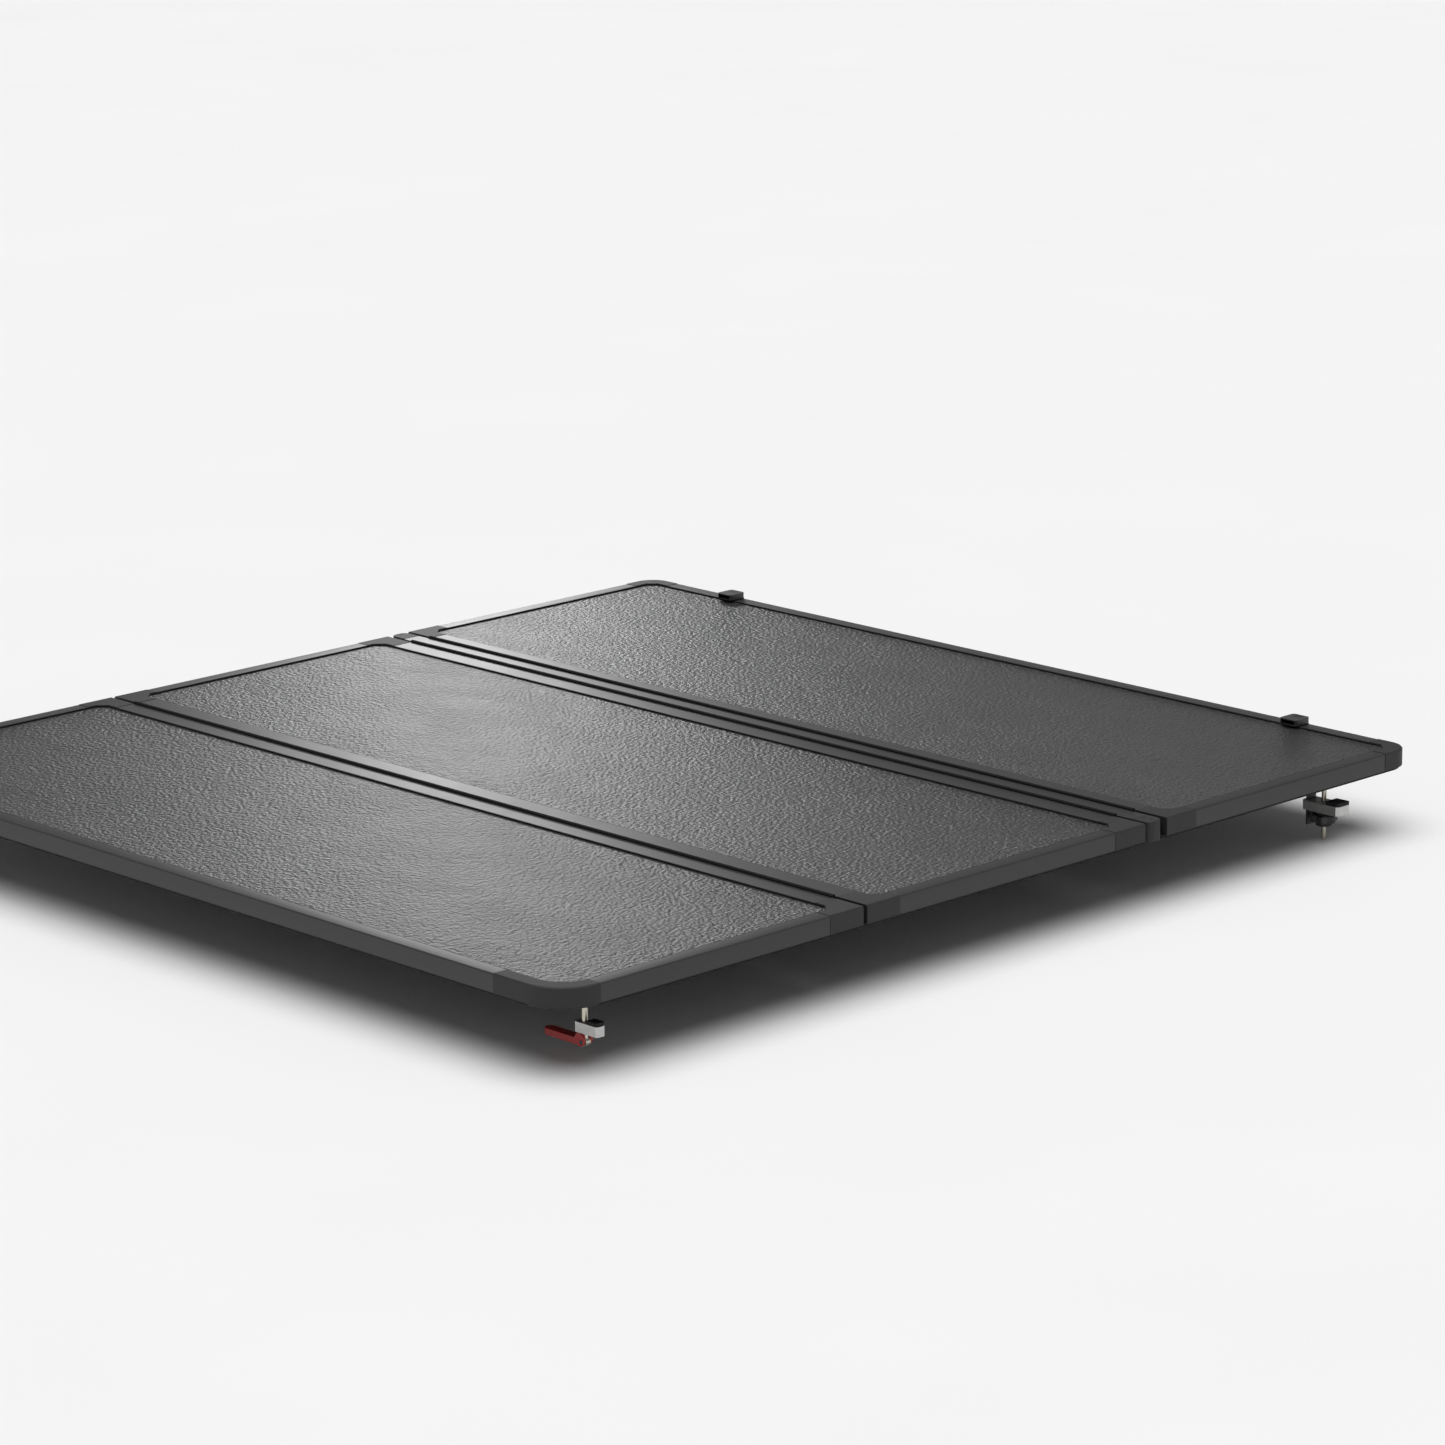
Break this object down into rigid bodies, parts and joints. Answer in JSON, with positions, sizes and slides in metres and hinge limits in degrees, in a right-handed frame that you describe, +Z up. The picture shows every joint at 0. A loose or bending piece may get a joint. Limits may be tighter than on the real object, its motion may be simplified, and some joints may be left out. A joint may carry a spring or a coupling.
{
  "type": "tonneau cover",
  "caption": "Hard folding cover for a pickup bed: framed textured panels on flush hinges, a hinge bar, rubber seals, under-rail clamps and storage straps.",
  "frame": {"origin": "middle of the cover in plan, on the bed rim plane that the seals rest on", "axes": "+X to the vehicle's right, +Y to the cab, +Z up"},
  "size_m": [1.6412, 1.6865, 0.136],
  "materials": {
    "panel_skin": "pebbled charcoal fibreglass with a soft sheen",
    "panel_core": "rigid foam",
    "panel_liner": "smooth black sheet",
    "rail_coating": "satin black powder coat on aluminium",
    "cap_plastic": "fine moulded grain",
    "seal_rubber": "matt",
    "pad_rubber": "matt",
    "bracket_coating": "black powder coat on steel",
    "jaw_aluminium": "cast, tumbled",
    "knob_plastic": "glass filled nylon",
    "lever_plastic": "red glass filled nylon",
    "pin_steel": "black oxide",
    "stud_steel": "zinc plated",
    "screw_steel": "black oxide",
    "strap_webbing": "woven black webbing",
    "buckle_plastic": "satin acetal"
  },
  "bodies": {
    "front_panel": {"bulkhead_rail": "rail_coating", "bulkhead_seal": "seal_rubber", "front_clamp_brackets": "bracket_coating", "front_clamp_screws": "screw_steel", "front_clamp_studs": "stud_steel", "front_hinge_pin": "pin_steel", "front_hinge_rail": "rail_coating", "front_panel_core": "panel_core", "front_panel_corner_caps": "cap_plastic", "front_panel_left_rail": "rail_coating", "front_panel_liner": "panel_liner", "front_panel_right_rail": "rail_coating", "front_panel_side_seals": "seal_rubber", "front_panel_skin": "panel_skin", "storage_strap_buckles": "buckle_plastic", "storage_strap_webbings": "strap_webbing"},
    "hinge_bar": {"hinge_bar": "rail_coating", "hinge_bar_end_caps": "cap_plastic", "hinge_bar_screws": "screw_steel", "middle_hinge_pin": "pin_steel"},
    "middle_panel": {"middle_front_hinge_rail": "rail_coating", "middle_panel_core": "panel_core", "middle_panel_corner_caps": "cap_plastic", "middle_panel_left_rail": "rail_coating", "middle_panel_liner": "panel_liner", "middle_panel_right_rail": "rail_coating", "middle_panel_side_seals": "seal_rubber", "middle_panel_skin": "panel_skin", "middle_rear_hinge_rail": "rail_coating", "rear_hinge_pin": "pin_steel", "storage_strap_tongues": "buckle_plastic"},
    "tail_panel": {"rear_clamp_brackets": "bracket_coating", "rear_clamp_pins": "pin_steel", "tail_bumpers": "pad_rubber", "tail_hinge_rail": "rail_coating", "tail_panel_core": "panel_core", "tail_panel_corner_caps": "cap_plastic", "tail_panel_left_rail": "rail_coating", "tail_panel_liner": "panel_liner", "tail_panel_right_rail": "rail_coating", "tail_panel_side_seals": "seal_rubber", "tail_panel_skin": "panel_skin", "tailgate_rail": "rail_coating", "tailgate_seal": "seal_rubber"},
    "front_jaw_left": {"front_clamp_jaw_left": "jaw_aluminium", "front_clamp_pad_left": "pad_rubber"},
    "front_jaw_right": {"front_clamp_jaw_right": "jaw_aluminium", "front_clamp_pad_right": "pad_rubber"},
    "front_knob_left": {"front_clamp_knob_left": "knob_plastic"},
    "front_knob_right": {"front_clamp_knob_right": "knob_plastic"},
    "rear_jaw_left": {"rear_clamp_jaw_left": "jaw_aluminium", "rear_clamp_pad_left": "pad_rubber"},
    "rear_jaw_right": {"rear_clamp_jaw_right": "jaw_aluminium", "rear_clamp_pad_right": "pad_rubber"},
    "rear_lever_left": {"rear_clamp_lever_left": "lever_plastic"},
    "rear_lever_right": {"rear_clamp_lever_right": "lever_plastic"},
    "rear_rod_left": {"rear_clamp_lever_pin_left": "pin_steel", "rear_clamp_rod_left": "stud_steel"},
    "rear_rod_right": {"rear_clamp_lever_pin_right": "pin_steel", "rear_clamp_rod_right": "stud_steel"}
  },
  "joints": [
    {"name": "front_fold", "type": "hinge", "parent": "front_panel", "child": "hinge_bar", "pos_m": [0, 0.294, 0.031], "axis": [-1, 0, 0], "range_deg": [0, 90]},
    {"name": "middle_fold", "type": "hinge", "parent": "hinge_bar", "child": "middle_panel", "pos_m": [0, 0.256, 0.031], "axis": [-1, 0, 0], "range_deg": [0, 90]},
    {"name": "rear_fold", "type": "hinge", "parent": "middle_panel", "child": "tail_panel", "pos_m": [0, -0.302, 0.031], "axis": [-1, 0, 0], "range_deg": [0, 180]},
    {"name": "front_jaw_left_slide", "type": "slide", "parent": "front_panel", "child": "front_jaw_left", "axis": [0, 0, -1], "range_m": [0, 0.018]},
    {"name": "front_knob_left_turn", "type": "hinge", "parent": "front_jaw_left", "child": "front_knob_left", "pos_m": [-0.762, 0.712, -0.0644], "axis": [0, 0, -1], "range_deg": [0, 5185]},
    {"name": "rear_rod_left_swing", "type": "hinge", "parent": "tail_panel", "child": "rear_rod_left", "pos_m": [-0.762, -0.75, 0.0045], "axis": [1, 0, 0], "range_deg": [0, 90]},
    {"name": "rear_lever_left_turn", "type": "hinge", "parent": "rear_rod_left", "child": "rear_lever_left", "pos_m": [-0.762, -0.75, -0.06548], "axis": [0, 1, 0], "range_deg": [0, 90]},
    {"name": "rear_jaw_left_slide", "type": "slide", "parent": "rear_rod_left", "child": "rear_jaw_left", "axis": [0, 0, -1], "range_m": [0, 0.0064]},
    {"name": "front_jaw_right_slide", "type": "slide", "parent": "front_panel", "child": "front_jaw_right", "axis": [0, 0, -1], "range_m": [0, 0.018]},
    {"name": "front_knob_right_turn", "type": "hinge", "parent": "front_jaw_right", "child": "front_knob_right", "pos_m": [0.762, 0.712, -0.0644], "axis": [0, 0, -1], "range_deg": [0, 5185]},
    {"name": "rear_rod_right_swing", "type": "hinge", "parent": "tail_panel", "child": "rear_rod_right", "pos_m": [0.762, -0.75, 0.0045], "axis": [1, 0, 0], "range_deg": [0, 90]},
    {"name": "rear_lever_right_turn", "type": "hinge", "parent": "rear_rod_right", "child": "rear_lever_right", "pos_m": [0.762, -0.75, -0.06548], "axis": [0, -1, 0], "range_deg": [0, 90]},
    {"name": "rear_jaw_right_slide", "type": "slide", "parent": "rear_rod_right", "child": "rear_jaw_right", "axis": [0, 0, -1], "range_m": [0, 0.0064]}
  ],
  "couplings": [
    {"joint": "front_knob_left_turn", "follows": "front_jaw_left_slide", "rad_per_m": 5026.5},
    {"joint": "rear_jaw_left_slide", "follows": "rear_lever_left_turn", "m_per_rad": 0.0040514},
    {"joint": "front_knob_right_turn", "follows": "front_jaw_right_slide", "rad_per_m": 5026.5},
    {"joint": "rear_jaw_right_slide", "follows": "rear_lever_right_turn", "m_per_rad": 0.0040514}
  ]
}
